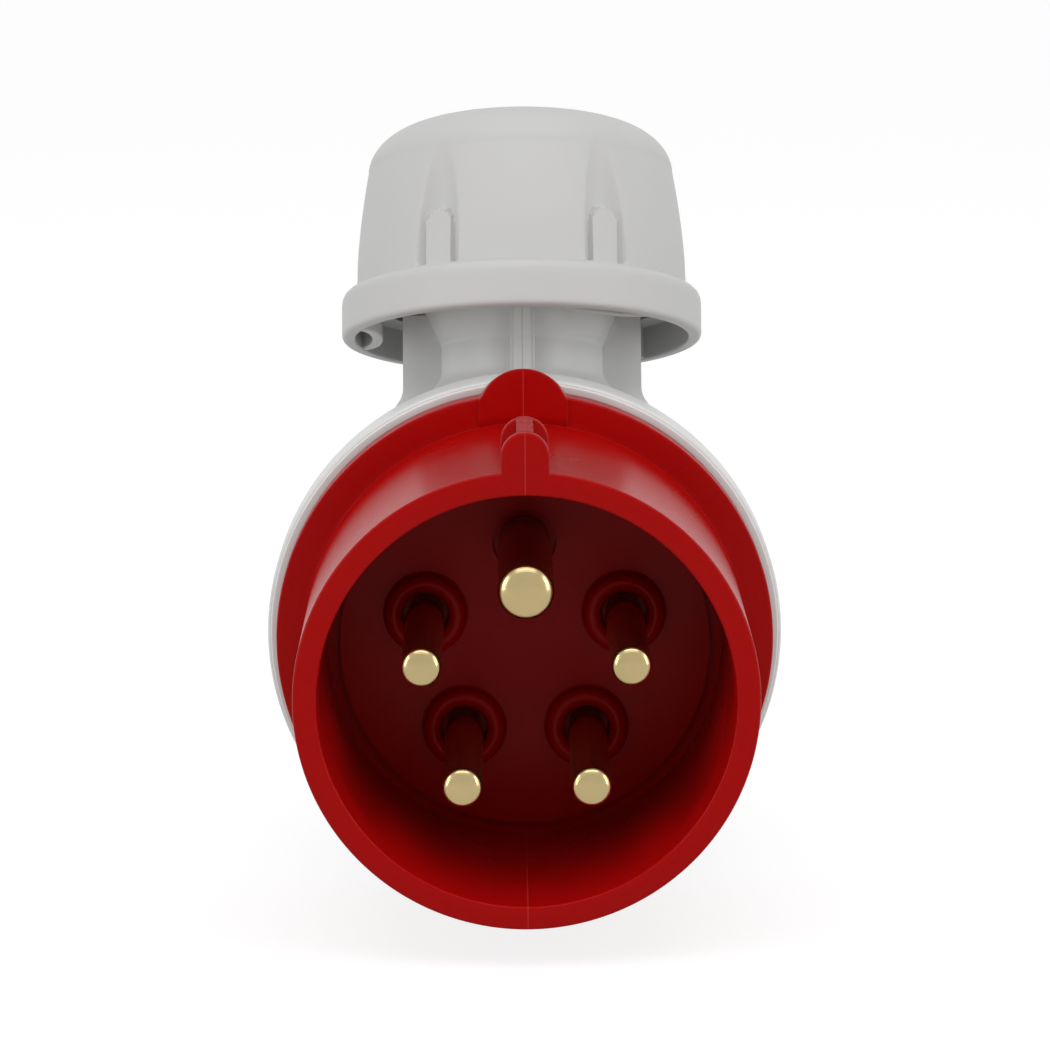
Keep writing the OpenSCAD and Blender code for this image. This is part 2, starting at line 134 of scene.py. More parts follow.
def makeRoom(v):
    # a white room; its light on the object is weaker from straight ahead of the mouth and from behind, by (y + 1) / 2
    # of the direction
    world = bpy.data.worlds.new("whiteRoom")
    bpy.context.scene.world = world
    world.use_nodes = True
    tree = world.node_tree
    n = tree.nodes
    wall, way, split = n["Background"], n.new("ShaderNodeTexCoord"), n.new("ShaderNodeSeparateXYZ")
    fade, white, mix = n.new("ShaderNodeValToRGB"), n.new("ShaderNodeBackground"), n.new("ShaderNodeMixShader")
    white.inputs["Color"].default_value = (1, 1, 1, 1)
    fade.color_ramp.interpolation = "EASE"
    levels = (v["ahead"], v["sides"], v["sides"], v["behind"])
    for k, (place, level) in enumerate(zip(v["stops"], levels)):
        stop = fade.color_ramp.elements[k] if k < 2 else fade.color_ramp.elements.new(place)
        stop.position, stop.color = place, (level, level, level, 1)
    link(tree, (way.outputs["Generated"], split.inputs[0]),
         (math1(tree, "MULTIPLY", math1(tree, "ADD", split.outputs["Y"], 1.0), 0.5), fade.inputs[0]),
         (fade.outputs[0], wall.inputs["Color"]), (addSeen(tree), mix.inputs[0]), (wall.outputs[0], mix.inputs[1]),
         (white.outputs[0], mix.inputs[2]), (mix.outputs[0], n["World Output"].inputs[0]))


makeRoom(room)

floor = {"reach": 4.0, "height": -34.2, "bounce": 0.5, "shade": 0.26, "glow": 0.8, "roughness": 0.95}


def makeStage(v):
    # one pale square that the object stands on, shown as white paper that keeps a faint shadow
    mesh = bpy.data.meshes.new("studioFloor")
    reach, low = v["reach"], v["height"] * mm
    corners = [(x * reach, y * reach, low) for x, y in ((-1, -1), (1, -1), (1, 1), (-1, 1))]
    mesh.from_pydata(corners, [], [(0, 1, 2, 3)])
    paper = bpy.data.materials.new("palePaper")
    paper.use_nodes = True
    tree = paper.node_tree
    n = tree.nodes
    plain, shown, mix = n["Principled BSDF"], n.new("ShaderNodeBsdfPrincipled"), n.new("ShaderNodeMixShader")
    for shader, level in ((plain, v["bounce"]), (shown, v["shade"])):
        shader.inputs["Base Color"].default_value = (level, level, level, 1)
        shader.inputs["Roughness"].default_value = v["roughness"]
        shader.inputs["Specular IOR Level"].default_value = 0.0
    shown.inputs["Emission Color"].default_value = (1, 1, 1, 1)
    shown.inputs["Emission Strength"].default_value = v["glow"]
    link(tree, (addSeen(tree), mix.inputs[0]), (plain.outputs[0], mix.inputs[1]), (shown.outputs[0], mix.inputs[2]),
         (mix.outputs[0], n["Material Output"].inputs["Surface"]))
    mesh.materials.append(paper)
    stage = bpy.data.objects.new("studioFloor", mesh)
    bpy.context.scene.collection.objects.link(stage)


makeStage(floor)


def newGroup(name, ins, outs):
    # a shader group with its inputs as (label, kind, value) and its outputs as (label, kind)
    group = bpy.data.node_groups.new(name, "ShaderNodeTree")
    for label, kind, value in ins:
        socket = group.interface.new_socket(label, in_out="INPUT", socket_type="NodeSocket" + kind)
        socket.default_value = value
    for label, kind in outs:
        group.interface.new_socket(label, in_out="OUTPUT", socket_type="NodeSocket" + kind)
    return group, group.nodes.new("NodeGroupInput"), group.nodes.new("NodeGroupOutput")


mould = {"driftScale": 60, "driftDetail": 3, "grainDetail": 2, "grooveDepth": 4.0}
lathe = {"cloudScale": 420, "cloudDetail": 4, "cloudHeight": 1.5}


def makeMouldSkin(v):
    # moulded skin: colour * (1 + drift * noise + seam * groove) + highlight * groove, a roughness that wanders with
    # the same noise, and a height of fine grain less the groove, which is the parting line where X is near 0. A
    # negative seam darkens the parting line as a dark joint; a positive seam and the added pale colour lighten it as a
    # painted highlight
    tree, gin, gout = newGroup("mouldSkin", [("Color", "Color", (0.5, 0.5, 0.5, 1)), ("Drift", "Float", 0.05),
        ("Roughness", "Float", 0.4), ("Wander", "Float", 0.05), ("Grain", "Float", 900.0), ("Line", "Float", 0.0001),
        ("Seam", "Float", 0.3), ("PaintedHighlight", "Float", 0.0), ("Inner", "Float", 0.0)],
        [("Color", "Color"), ("Roughness", "Float"), ("Height", "Float")])
    n = tree.nodes
    place = n.new("ShaderNodeTexCoord").outputs["Object"]
    slow, fine = n.new("ShaderNodeTexNoise"), n.new("ShaderNodeTexNoise")
    slow.inputs["Scale"].default_value = v["driftScale"]
    slow.inputs["Detail"].default_value, fine.inputs["Detail"].default_value = v["driftDetail"], v["grainDetail"]
    link(tree, (place, slow.inputs["Vector"]), (place, fine.inputs["Vector"]),
         (gin.outputs["Grain"], fine.inputs["Scale"]))
    off = math1(tree, "SUBTRACT", slow.outputs["Fac"], 0.5)
    rough = math1(tree, "ADD", gin.outputs["Roughness"], math1(tree, "MULTIPLY", off, gin.outputs["Wander"]))
    link(tree, (rough, gout.inputs["Roughness"]))
    split = n.new("ShaderNodeSeparateXYZ")
    link(tree, (place, split.inputs[0]))
    near = math1(tree, "DIVIDE", math1(tree, "ABSOLUTE", split.outputs["X"]), gin.outputs["Line"])
    outside = math1(tree, "GREATER_THAN", math1(tree, "ABSOLUTE", split.outputs["Z"]), gin.outputs["Inner"])
    groove = math1(tree, "MULTIPLY", math1(tree, "SUBTRACT", 1.0, near, clamp=True), outside)
    tone = math1(tree, "ADD", math1(tree, "MULTIPLY", off, gin.outputs["Drift"]), 1.0)
    # a positive seam value lightens the parting line as a painted highlight, and a negative one darkens it as a dark
    # joint between the halves
    tone = math1(tree, "ADD", tone, math1(tree, "MULTIPLY", groove, gin.outputs["Seam"]))
    # the pale colour added along the parting line is a painted highlight
    shade, highlightAdd = n.new("ShaderNodeVectorMath"), n.new("ShaderNodeVectorMath")
    shade.operation, highlightAdd.operation = "SCALE", "ADD"
    link(tree, (gin.outputs["Color"], shade.inputs[0]), (tone, shade.inputs["Scale"]),
         (shade.outputs[0], highlightAdd.inputs[0]), (highlightAdd.outputs[0], gout.inputs["Color"]),
         (math1(tree, "MULTIPLY", groove, gin.outputs["PaintedHighlight"]), highlightAdd.inputs[1]))
    height = math1(tree, "SUBTRACT", fine.outputs["Fac"], math1(tree, "MULTIPLY", groove, v["grooveDepth"]))
    link(tree, (height, gout.inputs["Height"]))
    return tree


def makeTurnedRings(v):
    # rings left by a lathe: the sine of the profile's length times the pitch, plus noise, and a mask of the same noise
    tree, gin, gout = newGroup("turnedRings", [("Pitch", "Float", 6000.0), ("Tarnish", "Float", 0.3)],
        [("Height", "Float"), ("Tarnish", "Float")])
    n = tree.nodes
    uv, cloud = n.new("ShaderNodeUVMap"), n.new("ShaderNodeTexNoise")
    split, wave = n.new("ShaderNodeSeparateXYZ"), n.new("ShaderNodeMath")
    place = n.new("ShaderNodeTexCoord").outputs["Object"]
    cloud.inputs["Scale"].default_value, cloud.inputs["Detail"].default_value = v["cloudScale"], v["cloudDetail"]
    wave.operation = "SINE"
    link(tree, (uv.outputs[0], split.inputs[0]), (place, cloud.inputs["Vector"]),
         (math1(tree, "MULTIPLY", split.outputs["Y"], gin.outputs["Pitch"]), wave.inputs[0]))
    haze = math1(tree, "MULTIPLY", cloud.outputs["Fac"], v["cloudHeight"])
    link(tree, (math1(tree, "ADD", wave.outputs[0], haze), gout.inputs["Height"]),
         (math1(tree, "MULTIPLY", cloud.outputs["Fac"], gin.outputs["Tarnish"], clamp=True), gout.inputs["Tarnish"]))
    return tree


mouldSkin, turnedRings = makeMouldSkin(mould), makeTurnedRings(lathe)


def startFinish(name, values):
    # a material whose Principled shader has the given constants on its own sockets
    finish = bpy.data.materials.new(name)
    finish.use_nodes = True
    shader = finish.node_tree.nodes["Principled BSDF"]
    for label, value in values.items():
        shader.inputs[label].default_value = value
    return finish, finish.node_tree, shader


def placeGroup(tree, group, values):
    # one use of a shader group, with its own values
    node = tree.nodes.new("ShaderNodeGroup")
    node.node_tree = group
    for label, value in values.items():
        node.inputs[label].default_value = value
    return node


def addBump(tree, shader, height, strength, distance):
    # the shader's normal, tilted by the slope of a height in metres
    bump = tree.nodes.new("ShaderNodeBump")
    bump.inputs["Strength"].default_value, bump.inputs["Distance"].default_value = strength, distance
    link(tree, (height, bump.inputs["Height"]), (bump.outputs[0], shader.inputs["Normal"]))


skinValues = {"Drift": 0.05, "Wander": 0.06, "Grain": 900.0, "Line": 0.000001, "Seam": 0.0, "PaintedHighlight": 0.0, "Inner": 0.0}
grainDepth, ringBump, ringDepth, tarnish = 0.00006, 0.3, 0.000008, 0.5


def plastic(name, color, roughness, bump=0.1, changes=None, constants=None):
    # the mould skin over a Principled shader; changes take the place of the usual skin values
    finish, tree, shader = startFinish(name, constants or {})
    values = {"Color": (*color, 1), "Roughness": roughness, **skinValues, **(changes or {})}
    skin = placeGroup(tree, mouldSkin, values)
    link(tree, (skin.outputs["Color"], shader.inputs["Base Color"]),
         (skin.outputs["Roughness"], shader.inputs["Roughness"]))
    addBump(tree, shader, skin.outputs["Height"], bump, grainDepth)
    return finish


def turnedMetal(name, bright, dull, roughness, pitch=6000.0):
    # bare metal that goes from its bright to its dull colour with the tarnish mask, under the lathe's rings
    finish, tree, shader = startFinish(name, {"Metallic": 1.0, "Roughness": roughness})
    rings = placeGroup(tree, turnedRings, {"Pitch": pitch, "Tarnish": tarnish})
    mix = tree.nodes.new("ShaderNodeMix")
    mix.data_type = "RGBA"  # its two colours are then inputs 6 and 7, and the mixed one is output 2
    mix.inputs[6].default_value, mix.inputs[7].default_value = (*bright, 1), (*dull, 1)
    link(tree, (rings.outputs["Tarnish"], mix.inputs[0]), (mix.outputs[2], shader.inputs["Base Color"]))
    addBump(tree, shader, rings.outputs["Height"], ringBump, ringDepth)
    return finish


finishes = {
    # the sleeve's lighter parting line is a painted highlight; the housing's darker parting line is a dark joint
    "sleeve": plastic("glossRed", (0.34, 0.002, 0.0016), 0.28, 0.04, {"Grain": 500.0, "Line": 0.00009, "Seam": 0.25,
        "PaintedHighlight": 0.03, "Inner": 0.0258}, {"Specular IOR Level": 0.08}),
    "housing": plastic("satinGrey", (0.63, 0.63, 0.62), 0.45, 0.12, {"Line": 0.00012, "Seam": -0.35}),
    "cap": plastic("satinCapGrey", (0.5, 0.5, 0.492), 0.55, 0.14),
    "brass": turnedMetal("turnedBrass", (0.48, 0.385, 0.195), (0.36, 0.28, 0.13), 0.2, 30000.0),
    "steel": turnedMetal("platedSteel", (0.7, 0.7, 0.7), (0.5, 0.5, 0.52), 0.3),
    "carrier": plastic("carrierGrey", (0.09, 0.09, 0.095), 0.45),
    "seal": plastic("blackRubber", (0.02, 0.02, 0.02), 0.6, 0.2),
    "cage": plastic("cageBlack", (0.04, 0.04, 0.042), 0.4),
    "washer": plastic("washerNatural", (0.5, 0.5, 0.48), 0.35),
}
for entry in frame["record"]["subparts"]:
    for holder in frame["nodes"][entry["node"]].material_slots:
        holder.material = finishes[entry["material_slot"]]
print("finishes made")


def gridFaces(rows, cols, closeRows=False):
    # quads between neighbouring rows and columns of a grid whose points are numbered row by row
    i, j = np.meshgrid(np.arange(rows - (not closeRows)), np.arange(cols), indexing="ij")
    a, b = (i + 1) % rows, (j + 1) % cols
    return np.stack([i * cols + j, i * cols + b, a * cols + b, a * cols + j], -1).reshape(-1, 4)


def newPiece(name, points, faces, slot, body="plug", nodes=(), sharp=crease, uv=None):
    # points in millimetres and a list of faces, welded, turned outwards and shaded smooth up to a crease angle
    mesh = bpy.data.meshes.new(name)
    faces = faces if isinstance(faces, list) else faces.tolist()
    mesh.from_pydata((np.asarray(points).reshape(-1, 3) * mm).tolist(), [], faces)
    if uv is not None:
        corner = np.empty(len(mesh.loops), int)
        mesh.loops.foreach_get("vertex_index", corner)
        mesh.uv_layers.new(name="UVMap").data.foreach_set("uv", (uv.reshape(-1, 2)[corner]).ravel())
    bm = bmesh.new()
    bm.from_mesh(mesh)
    bmesh.ops.remove_doubles(bm, verts=bm.verts, dist=weld)
    bmesh.ops.recalc_face_normals(bm, faces=bm.faces)
    bm.to_mesh(mesh)
    bm.free()
    mesh.polygons.foreach_set("use_smooth", np.ones(len(mesh.polygons), bool))
    mesh.set_sharp_from_angle(angle=np.radians(sharp))
    mesh.materials.append(finishes[slot])
    piece = bpy.data.objects.new(name, mesh)
    bpy.context.scene.collection.objects.link(piece)
    if nodes:
        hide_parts(*nodes)
    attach(piece, body)
    return piece


def softProfile(corners, steps=5):
    # a loop of corners (radius, height, cut); each corner becomes a parabola that starts and ends at its cut
    c = np.array(corners, float)
    p, cut = c[:, :2], c[:, 2:3]
    before, after = np.roll(p, 1, 0) - p, np.roll(p, -1, 0) - p
    before = before / np.maximum(np.linalg.norm(before, axis=1, keepdims=True), 1e-9)
    after = after / np.maximum(np.linalg.norm(after, axis=1, keepdims=True), 1e-9)
    t = np.linspace(0, 1, steps)[None, :, None]
    a, b = (p + before * cut)[:, None], (p + after * cut)[:, None]
    soft = ((1 - t) ** 2 * a + 2 * t * (1 - t) * p[:, None] + t ** 2 * b).reshape(-1, 2)
    return soft[np.linalg.norm(soft - np.roll(soft, 1, 0), axis=1) > 1e-6]


def divide(profile, step):
    # extra points along an open profile, so that none lie further apart than the step
    starts, ends = profile[:-1], profile[1:]
    count = np.maximum(1, np.ceil(np.linalg.norm(ends - starts, axis=1) / step)).astype(int)
    which = np.repeat(np.arange(len(starts)), count)
    share = (np.arange(count.sum()) - np.repeat(np.cumsum(count) - count, count)) / count[which]
    return np.vstack([starts[which] + (ends - starts)[which] * share[:, None], profile[-1:]])


def boxRing(inner, outer, front, back):
    # the section of a square-cornered ring, from its inner to its outer radius and from its front to its back
    return softProfile([(inner, front, 0), (outer, front, 0), (outer, back, 0), (inner, back, 0)])


def along(profile):
    # each point's length along the profile: the running sum of the gaps between points
    return np.concatenate([[0], np.cumsum(np.linalg.norm(np.diff(profile, axis=0), axis=1))])


def turnedPoints(profile, angles):
    # a profile of radius and depth carried round the Y axis
    r, y = profile[:, :1], profile[:, 1:]
    return np.stack([r * np.cos(angles), y + 0 * angles, r * np.sin(angles)], -1)


def turned(name, profile, slot, segs, centre=(0, 0), closed=True, **more):
    # a piece turned round a line through its centre, with the profile's length as its pattern's V
    angles = np.linspace(0, fullTurn, segs, endpoint=False)
    points = turnedPoints(profile, angles) + np.array([centre[0], 0, centre[1]])
    uv = np.stack(np.broadcast_arrays(angles / fullTurn, along(profile)[:, None] * mm), -1)
    return newPiece(name, points, gridFaces(len(profile), segs, closeRows=closed), slot, uv=uv, **more)


def ringOf(radius, count, centre=(0, 0)):
    # even points on a circle
    t = np.linspace(0, fullTurn, count, endpoint=False)
    return np.stack([np.cos(t), np.sin(t)], 1) * radius + np.array(centre)


def blendMin(a, b, soft):
    # the lesser of two values, with a parabola where they differ by less than soft
    h = np.clip(0.5 + 0.5 * (b - a) / soft, 0, 1)
    return b + (a - b) * h - soft * h * (1 - h)


def blendMax(a, b, soft):
    # the greater of two values, rounded in the same way
    return -blendMin(-a, -b, soft)


def ease(x):
    # 0 to 1 with a level start and end: x * x * (3 - 2 * x)
    x = np.clip(x, 0, 1)
    return x * x * (3 - 2 * x)


sleeve = {"mouth": 28.95, "radius": 29.0, "bore": 25.95, "edge": 0.4, "depth": 35.0, "seat": 38.0, "groove": 1.6,
          "flange": 32.85, "flangeFront": 37.0, "flangeBack": 40.8, "fillet": 0.12, "frontEdge": 0.3, "backEdge": 0.1,
          "spigot": 30.75, "chamber": 27.15, "lip": 43.5, "lipWidth": 1.4, "lipDepth": 1.2, "end": 46.5,
          "endEdge": 0.5, "chamberEdge": 0.2, "gutterDepth": 0.8, "overlap": 0.3, "segs": 192}
nib = {"half": 3.0, "height": 4.8, "length": 13.4, "webHalf": 1.05, "plate": 1.6, "edge": 0.2, "blend": 0.2}
lug = {"radius": 5.8, "rise": 3.5, "step": 0.3, "taper": 0.22, "blend": 0.7, "stepRun": 3.6,
       "edgeStart": 0.06, "edgeWidth": 0.14, "footRun": 0.75}
pinSet = {"circle": 13.7, "live": 2.5, "liveTip": 1.0, "liveRoom": 0.5, "liveBarrel": 4.1,
          "earth": 3.5, "earthTip": 0.5, "earthRoom": 0.7, "earthBarrel": 4.5, "power": 0.8, "dome": 0.5,
          "root": 31.0, "relief": 0.3, "reliefRun": 1.6, "collar": 1.8, "collarFront": 38, "collarBack": 40,
          "barrelEnd": 53.0, "wire": 2.2, "wireEnd": 44, "drillTip": 42.9,
          "bossHeight": 2.5, "bossWidth": 2.3, "seatGrip": 0.27, "seatDepth": 1.6}
bossSkirt = [(0, -0.35), (0.12, -0.1), (0.4, 0.05), (0.4, 0.3)]  # out from the boss, back from the floor
pinNodes = {"earth_pin": 90, "neutral_pin": 18, "line_pin_1": 162, "line_pin_2": 234, "line_pin_3": 306}
earthAngle = pinNodes["earth_pin"]
sleeveColumns = {"stops": [(0, 0.0305, 8), (0.0305, 0.0375, 14), (0.0375, 0.097, 16), (0.097, 0.106, 16),
    (0.106, 0.175, 20), (0.175, 0.215, 36), (0.215, 0.27, 10)], "rest": 240}  # from, to and count on one side


def pinPlace(angle):
    # a pin's centre: its circle's radius times the cosine and the sine of its angle
    return pinSet["circle"] * np.cos(np.radians(angle)), pinSet["circle"] * np.sin(np.radians(angle))


def holeRadius(angle):
    # the pin's radius and the room round it
    return pinSet["earth"] + pinSet["earthRoom"] if angle == earthAngle else pinSet["live"] + pinSet["liveRoom"]


def sleeveAngles(v=sleeveColumns):
    # columns round the sleeve, closer together where the sides of the nib's web, its plates and the lug stand
    half = np.concatenate([np.linspace(a, b, n, endpoint=False) for a, b, n in v["stops"]])
    last = v["stops"][-1][1]
    rest = np.linspace(last, fullTurn - last, v["rest"])
    return np.concatenate([half, rest, fullTurn - half[:0:-1]])


def nibRows(v):
    # depths of the rows along the nib: both faces of each plate, and three closer rows for each rounded edge
    fine, back = v["edge"] * np.array([0.25, 0.55, 1.0]), v["length"] - v["plate"]
    faces = [v["plate"], v["plate"] + hair, back - hair, back]
    return np.concatenate([[0.45, 0.8], v["plate"] - fine[::-1], faces, back + fine, v["length"] - fine[::-1],
        [v["length"], v["length"] + hair]])


def nibReach(turn, y, v, base):
    # how far the nib's outline lies from the axis: upright sides under a round head, the web under the same head
    head, back = base + v["height"] - v["half"], v["length"] - v["plate"]
    toFace = np.minimum(np.abs(y % back), np.abs(v["plate"] - y % back))
    inset = v["edge"] * np.clip(1 - toFace / v["edge"], 0, 1) ** 2
    onPlate = (y <= v["plate"]) | (y >= back)
    radius = np.where(onPlate, v["half"] - inset, v["half"])
    half = np.where(onPlate, v["half"] - inset, v["webHalf"])
    side = half / np.maximum(np.abs(np.sin(turn)), tiny)
    dome = head * np.cos(turn) + np.sqrt(np.maximum(radius ** 2 - (head * np.sin(turn)) ** 2, 0))
    underDome = np.abs(np.tan(turn)) * head < radius
    reach = np.minimum(side, np.where(underDome, dome, farOff))
    return np.where((np.cos(turn) > 0) & (y <= v["length"]), reach, 0)


def sleeveProfile(v, slope, rows):
    # the sleeve's section: mouth, flank that widens by the slope, flange, spigot with its lip groove, and chamber
    lipEnd, lipFloor = v["lip"] + v["lipWidth"], v["spigot"] - v["lipDepth"]
    flank = [(v["mouth"] + slope * y, y, 0) for y in rows]
    face = [(r, v["flangeFront"], 0) for r in np.linspace(v["radius"] + 0.8, v["flange"] - 0.6, 6)]
    return softProfile([(v["bore"], 0, v["edge"]), (v["mouth"], 0, v["edge"]), *flank,
        (v["radius"], v["flangeFront"], v["fillet"]), *face, (v["flange"], v["flangeFront"], v["frontEdge"]),
        (v["flange"], v["flangeBack"], v["backEdge"]), (v["spigot"], v["flangeBack"], 0),
        (v["spigot"], v["lip"], v["backEdge"]), (lipFloor, v["lip"], 0), (lipFloor, lipEnd, 0),
        (v["spigot"], lipEnd, v["backEdge"]), (v["spigot"], v["end"], v["endEdge"]),
        (v["chamber"], v["end"], v["chamberEdge"]), (v["chamber"], v["seat"], 0), (v["bore"], v["seat"], 0)], 6)


def makeSleeve(v, bump, key):
    # the section is turned round the axis, then the nib pushes the flank out and the lug pushes the flange out
    slope = (v["radius"] - v["mouth"]) / v["flangeFront"]
    tube, turn = sleeveProfile(v, slope, nibRows(key)), sleeveAngles()[None]
    r, y = tube[:, :1], tube[:, 1:]
    onFlank = (r > v["radius"] - 0.8) & (y < key["length"] + 0.01)
    base = v["mouth"] + slope * y
    grow = np.where(onFlank, blendMax(nibReach(turn, y, key, v["radius"]), base, key["blend"]) - base, 0)
    # the lug is a circle whose edge replaces the flange's where it stands further out, on a foot with straight sides
    middle, off = v["flange"] + bump["rise"] - bump["radius"], np.sin(turn)
    near = (np.abs(off) * middle < bump["radius"]) & (np.cos(turn) > 0)
    reach = middle * np.cos(turn) + np.sqrt(np.maximum(bump["radius"] ** 2 - (middle * off) ** 2, 0))
    rise = blendMax(np.where(near, reach, 0), np.full(turn.shape, v["flange"]), bump["blend"]) - v["flange"]
    onFlange = (y > v["flangeFront"] - 0.1) & (y < v["flangeBack"] + 0.1)
    taper = 1 - bump["taper"] * np.clip((y - v["flangeFront"]) / (v["flangeBack"] - v["flangeFront"]), 0, 1)
    wide = r + grow + rise * taper * ease((r - v["spigot"]) / (v["flange"] - v["spigot"] - 0.6)) * onFlange
    # the foot and the lug stand in front of the flange by the step, which fades out towards the flange's back
    foot = ease((bump["radius"] + bump["edgeStart"] - np.abs(wide * off)) / bump["edgeWidth"])
    foot = foot * (np.cos(turn) > 0) * ease((r - v["radius"]) / bump["footRun"])
    fade = np.clip((v["flangeBack"] - y) / bump["stepRun"], 0, 1) * (y > v["flangeFront"] - bump["footRun"])
    depth = y - bump["step"] * foot * fade
    points = np.stack([wide * np.sin(turn), depth + 0 * wide, wide * np.cos(turn)], -1)
    faces = gridFaces(len(tube), turn.shape[1], closeRows=True)
    newPiece("sleeveShell", points, faces, "sleeve", nodes=("sleeve",))
    inner, outer = v["bore"] - v["groove"] - v["overlap"], v["bore"] + 0.1
    gutter = boxRing(inner, outer, v["depth"] + v["gutterDepth"], v["seat"])
    turned("floorGutter", gutter, "sleeve", segs=v["segs"])


def makeFloor(v):
    # flat plate with a round hole for each pin: the triangles of the whole disc, less those inside a hole
    places = [pinPlace(a) for a in pinNodes.values()]
    radii = [holeRadius(a) for a in pinNodes.values()]
    loops = [ringOf(v["bore"] - v["groove"], 160)] + [ringOf(r, 64, p) for p, r in zip(places, radii)]
    flat = np.vstack(loops)
    starts = np.cumsum([0] + [len(loop) for loop in loops])
    spans = [np.arange(a, b) for a, b in zip(starts, starts[1:])]
    edges = np.vstack([np.stack([span, np.roll(span, -1)], 1) for span in spans])
    found = delaunay_2d_cdt(flat.tolist(), edges.tolist(), [], 0, tiny)
    corner, tri = np.array([tuple(p) for p in found[0]]), np.array(found[2])
    middle = corner[tri].mean(1)
    clear = np.all([np.linalg.norm(middle - p, axis=1) > r - hair for p, r in zip(places, radii)], axis=0)
    tri, count = tri[clear & (np.linalg.norm(middle, axis=1) < v["bore"])], len(corner)
    front = np.stack([corner[:, 0], np.full(count, v["depth"]), corner[:, 1]], 1)
    back = front + [0, v["seat"] - v["depth"], 0]
    used = np.sort(np.vstack([tri[:, [0, 1]], tri[:, [1, 2]], tri[:, [2, 0]]]), 1)
    rim, times = np.unique(used, axis=0, return_counts=True)
    rim = rim[times == 1]
    walls = np.stack([rim[:, 0], rim[:, 1], rim[:, 1] + count, rim[:, 0] + count], 1)
    faces = tri.tolist() + (tri[:, ::-1] + count).tolist() + walls.tolist()
    newPiece("sleeveFloor", np.vstack([front, back]), faces, "sleeve")


def makeBosses(v):
    # a square ring seats each pin; a live pin's boss is a half circle of its wall's width on a short skirt
    for node, angle in pinNodes.items():
        hole, pin = holeRadius(angle), pinSet["earth"] if angle == earthAngle else pinSet["live"]
        seat = boxRing(pin - pinSet["seatGrip"], hole + 0.05, v["seat"] - pinSet["seatDepth"], v["seat"])
        turned("holeSeat." + node, seat, "sleeve", segs=64, centre=pinPlace(angle))
        if angle == earthAngle:
            continue
        t, half = np.linspace(np.pi, 2 * np.pi, 15), pinSet["bossWidth"] / 2
        crown = v["depth"] - pinSet["bossHeight"] + half + half * np.sin(t)
        crest = np.stack([hole + half + half * np.cos(t), crown], 1)
        outer = hole + pinSet["bossWidth"]
        skirt = np.array([(outer + a, v["depth"] + b) for a, b in bossSkirt] + [(hole, v["depth"] + 0.3)])
        turned("pinBoss." + node, np.vstack([crest, skirt]), "sleeve", segs=96, centre=pinPlace(angle))


def makePins(v):
    # one turned profile a pin: an end of radius r * sin(t)^power and depth dome * r * (1 - cos(t)^power), a shaft that
    # is thinner by the relief in its hole, a collar, and a barrel that is bored for its wire
    for node, angle in pinNodes.items():
        kind = "earth" if angle == earthAngle else "live"
        r, tip, barrel = v[kind], v[kind + "Tip"], v[kind + "Barrel"]
        t = np.linspace(0, np.pi / 2, 40)[:, None]
        dome = np.hstack([r * np.sin(t) ** v["power"], tip + v["dome"] * r * (1 - np.cos(t) ** v["power"])])
        thin, wide, end = r - v["relief"], r + v["collar"], v["barrelEnd"]
        shaft = softProfile([(r, v["root"], 0), (thin, v["root"] + v["reliefRun"], 0), (thin, v["collarFront"], 0),
            (wide, v["collarFront"], 0.1), (wide, v["collarBack"], 0.2), (barrel, v["collarBack"], 0),
            (barrel, end, 0.4), (v["wire"] + 0.2, end, 0.2), (v["wire"], end - 0.6, 0), (v["wire"], v["wireEnd"], 0),
            (0, v["drillTip"], 0)])
        shape = divide(np.vstack([dome, shaft]), 4)
        turned("pin." + node, shape, "brass", segs=96, centre=pinPlace(angle), closed=False, nodes=(node,))


makeSleeve(sleeve, lug, nib)
makeFloor(sleeve)
makeBosses(sleeve)
makePins(pinSet)
print("sleeve and pins made")

outlet = {"tilt": 19.0, "root": 56.0, "width": 32.7, "back": 18.3, "throat": 11.4, "front": -3.0, "flare": 36.3,
          "flareRadius": 15.6, "flank": 40.7, "collarFoot": 45.5, "collar": 18.8, "top": 57.2, "edge": 0.8,
          "seat": 48.0, "sealBore": 15.5, "sealStep": 2, "sealFoot": 46.5, "wall": 2.4, "bottom": 6, "joinTop": 34,
          "rib": 1.2, "ribHalf": 1.1, "step": 0.55, "stepHalf": 1.55, "edgeStart": 0.07, "edgeWidth": 0.14,
          "bead": 0.14, "beadRise": 0.2, "beadWidth": 0.28, "frontBlend": 0.2, "flareBlend": 0.15, "fillet": 2.2,
          "frontColumns": (38, 220), "backColumns": 340, "lowRows": 90, "flareRows": 46}
drum = {"rimFront": 41.0, "rimRadius": 34.2, "rimLength": 8.0, "mouth": 32.8, "mouthEnd": 42, "mouthEdge": 0.06,
        "radius": 31.85, "bore": 31.05, "lipBore": 29.85, "lip": 44.2, "lipHalf": 0.5, "boreEnd": 46.9,
        "hollowFront": 47.9, "wall": 2.4, "straight": 62.0, "dome": 22.0, "backEdge": 1.5, "rootEdge": 1.0,
        "rimStep": [(0.5, 0, 0.15), (0.42, 0.32, 0.08), (0.25, 0.32, 0.08), (0, 0.6, 0.25)],  # in, back and cut
        "screwHole": (3.3, 17, 60), "cableHole": (8.9, 2, 50)}  # radius, start and end
screws = {"housing_screw_upper": (76.5, 5.0), "housing_screw_lower": (66.0, -20.0)}


def onOutlet(points, v=outlet):
    # from the outlet's own frame, with Z along the cable, to the part's frame: a turn about X and a shift along Y
    c, s = np.cos(np.radians(v["tilt"])), np.sin(np.radians(v["tilt"]))
    x, y, z = np.moveaxis(np.asarray(points, float), -1, 0)
    return np.stack([x, v["root"] + y * c + z * s, z * c - y * s], -1)


